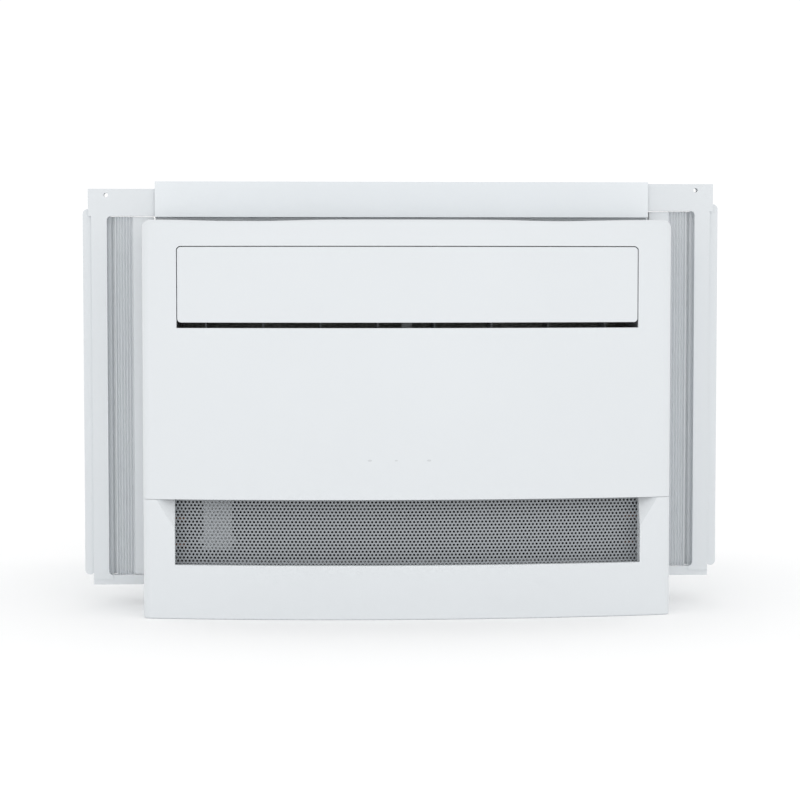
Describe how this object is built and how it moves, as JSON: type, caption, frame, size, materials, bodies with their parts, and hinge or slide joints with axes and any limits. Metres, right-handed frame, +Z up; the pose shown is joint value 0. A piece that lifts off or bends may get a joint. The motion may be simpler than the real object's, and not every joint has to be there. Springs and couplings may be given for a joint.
{
  "type": "window air conditioner",
  "caption": "White window air conditioner with a bowed front cover, tilting outlet flap, perforated intake grille and pleated side curtains sliding in a top rail.",
  "frame": {"origin": "centre of the footprint, on the surface that the unit stands on", "axes": "+Z up, -Y towards the room (the front cover faces -Y), +X to the right as seen from the room"},
  "size_m": [0.6096, 0.522, 0.4035],
  "materials": {
    "white_plastic": "satin moulded ABS",
    "white_steel": "white powder coat",
    "grey_sheet": "grey painted perforated sheet",
    "pleat_vinyl": "soft ribbed vinyl",
    "galvanised": "galvanised sheet",
    "dark_plastic": "glass-filled black moulding",
    "duct_plastic": "dark grey moulded duct",
    "foam": "expanded polystyrene",
    "aluminium_fins": "thin rolled fins",
    "copper": "drawn copper tube",
    "black_steel": "black enamel",
    "motor_steel": "rolled steel shell",
    "rubber": "matte rubber",
    "screw_steel": "zinc plated",
    "board_green": "solder-masked laminate",
    "filter_net": "fine woven net"
  },
  "bodies": {
    "unit": {"front_panel": "white_plastic", "lower_cover": "white_plastic", "flap_motor": "dark_plastic", "outlet_duct": "duct_plastic", "vane_motor": "dark_plastic", "intake_grille": "grey_sheet", "filter_frame": "dark_plastic", "filter_mesh": "filter_net", "touch_board": "board_green", "room_sensor": "white_plastic", "base_pan": "galvanised", "cabinet": "white_steel", "rear_guard": "white_steel", "top_rail": "white_steel", "bottom_rail": "galvanised", "left_side_strip": "white_plastic", "right_side_strip": "white_plastic", "evaporator_fins": "aluminium_fins", "evaporator_tubes": "copper", "drip_tray": "foam", "blower_scroll": "foam", "bulkhead": "galvanised", "fan_motor": "motor_steel", "motor_bracket": "galvanised", "fan_shroud": "foam", "condenser_fins": "aluminium_fins", "condenser_tubes": "copper", "compressor": "black_steel", "compressor_grommets": "rubber", "compressor_bolts": "screw_steel", "terminal_cover": "dark_plastic", "accumulator": "black_steel", "suction_pipe": "copper", "discharge_pipe": "copper", "liquid_line": "copper", "control_box": "galvanised", "inverter_board": "board_green", "cord_gland": "rubber", "drain_plug": "rubber", "cabinet_screws": "screw_steel", "rail_screws": "screw_steel", "strip_screws": "screw_steel", "cover_clips": "galvanised"},
    "flap": {"outlet_flap": "white_plastic"},
    "vane_1_body": {"vane_1": "duct_plastic"},
    "vane_2_body": {"vane_2": "duct_plastic"},
    "vane_3_body": {"vane_3": "duct_plastic"},
    "vane_4_body": {"vane_4": "duct_plastic"},
    "vane_5_body": {"vane_5": "duct_plastic"},
    "vane_6_body": {"vane_6": "duct_plastic"},
    "vane_7_body": {"vane_7": "duct_plastic"},
    "vane_8_body": {"vane_8": "duct_plastic"},
    "link": {"vane_link": "duct_plastic"},
    "rotor": {"motor_shaft": "motor_steel", "blower_wheel": "dark_plastic", "condenser_fan": "dark_plastic"},
    "left_curtain": {"left_curtain_frame": "white_plastic", "left_pleats": "pleat_vinyl"},
    "right_curtain": {"right_curtain_frame": "white_plastic", "right_pleats": "pleat_vinyl"}
  },
  "joints": [
    {"name": "flap_tilt", "type": "hinge", "parent": "unit", "child": "flap", "pos_m": [0, -0.237, 0.2885], "axis": [1, 0, 0], "range_deg": [0, 70]},
    {"name": "vane_1_swing", "type": "hinge", "parent": "unit", "child": "vane_1_body", "pos_m": [-0.18594, -0.19499, 0.3], "axis": [0, 0, 1], "range_deg": [-30, 30]},
    {"name": "vane_2_swing", "type": "hinge", "parent": "unit", "child": "vane_2_body", "pos_m": [-0.13281, -0.19499, 0.3], "axis": [0, 0, 1], "range_deg": [-30, 30]},
    {"name": "vane_3_swing", "type": "hinge", "parent": "unit", "child": "vane_3_body", "pos_m": [-0.07969, -0.19499, 0.3], "axis": [0, 0, 1], "range_deg": [-30, 30]},
    {"name": "vane_4_swing", "type": "hinge", "parent": "unit", "child": "vane_4_body", "pos_m": [-0.02656, -0.19499, 0.3], "axis": [0, 0, 1], "range_deg": [-30, 30]},
    {"name": "vane_5_swing", "type": "hinge", "parent": "unit", "child": "vane_5_body", "pos_m": [0.02656, -0.19499, 0.3], "axis": [0, 0, 1], "range_deg": [-30, 30]},
    {"name": "vane_6_swing", "type": "hinge", "parent": "unit", "child": "vane_6_body", "pos_m": [0.07969, -0.19499, 0.3], "axis": [0, 0, 1], "range_deg": [-30, 30]},
    {"name": "vane_7_swing", "type": "hinge", "parent": "unit", "child": "vane_7_body", "pos_m": [0.13281, -0.19499, 0.3], "axis": [0, 0, 1], "range_deg": [-30, 30]},
    {"name": "vane_8_swing", "type": "hinge", "parent": "unit", "child": "vane_8_body", "pos_m": [0.18594, -0.19499, 0.3], "axis": [0, 0, 1], "range_deg": [-30, 30]},
    {"name": "link_shift", "type": "hinge", "parent": "vane_1_body", "child": "link", "pos_m": [-0.18594, -0.17099, 0.3], "axis": [0, 0, 1], "range_deg": [-30, 30]},
    {"name": "fan_spin", "type": "hinge", "parent": "unit", "child": "rotor", "pos_m": [-0.045, 0, 0.158], "axis": [0, 1, 0], "continuous": true},
    {"name": "left_curtain_slide", "type": "slide", "parent": "unit", "child": "left_curtain", "axis": [-1, 0, 0], "range_m": [0, 0.162], "deforming": ["left_pleats"]},
    {"name": "right_curtain_slide", "type": "slide", "parent": "unit", "child": "right_curtain", "axis": [1, 0, 0], "range_m": [0, 0.162], "deforming": ["right_pleats"]}
  ],
  "couplings": [
    {"joint": "vane_2_swing", "follows": "vane_1_swing", "ratio": 1},
    {"joint": "vane_3_swing", "follows": "vane_1_swing", "ratio": 1},
    {"joint": "vane_4_swing", "follows": "vane_1_swing", "ratio": 1},
    {"joint": "vane_5_swing", "follows": "vane_1_swing", "ratio": 1},
    {"joint": "vane_6_swing", "follows": "vane_1_swing", "ratio": 1},
    {"joint": "vane_7_swing", "follows": "vane_1_swing", "ratio": 1},
    {"joint": "vane_8_swing", "follows": "vane_1_swing", "ratio": 1},
    {"joint": "link_shift", "follows": "vane_1_swing", "ratio": -1}
  ]
}
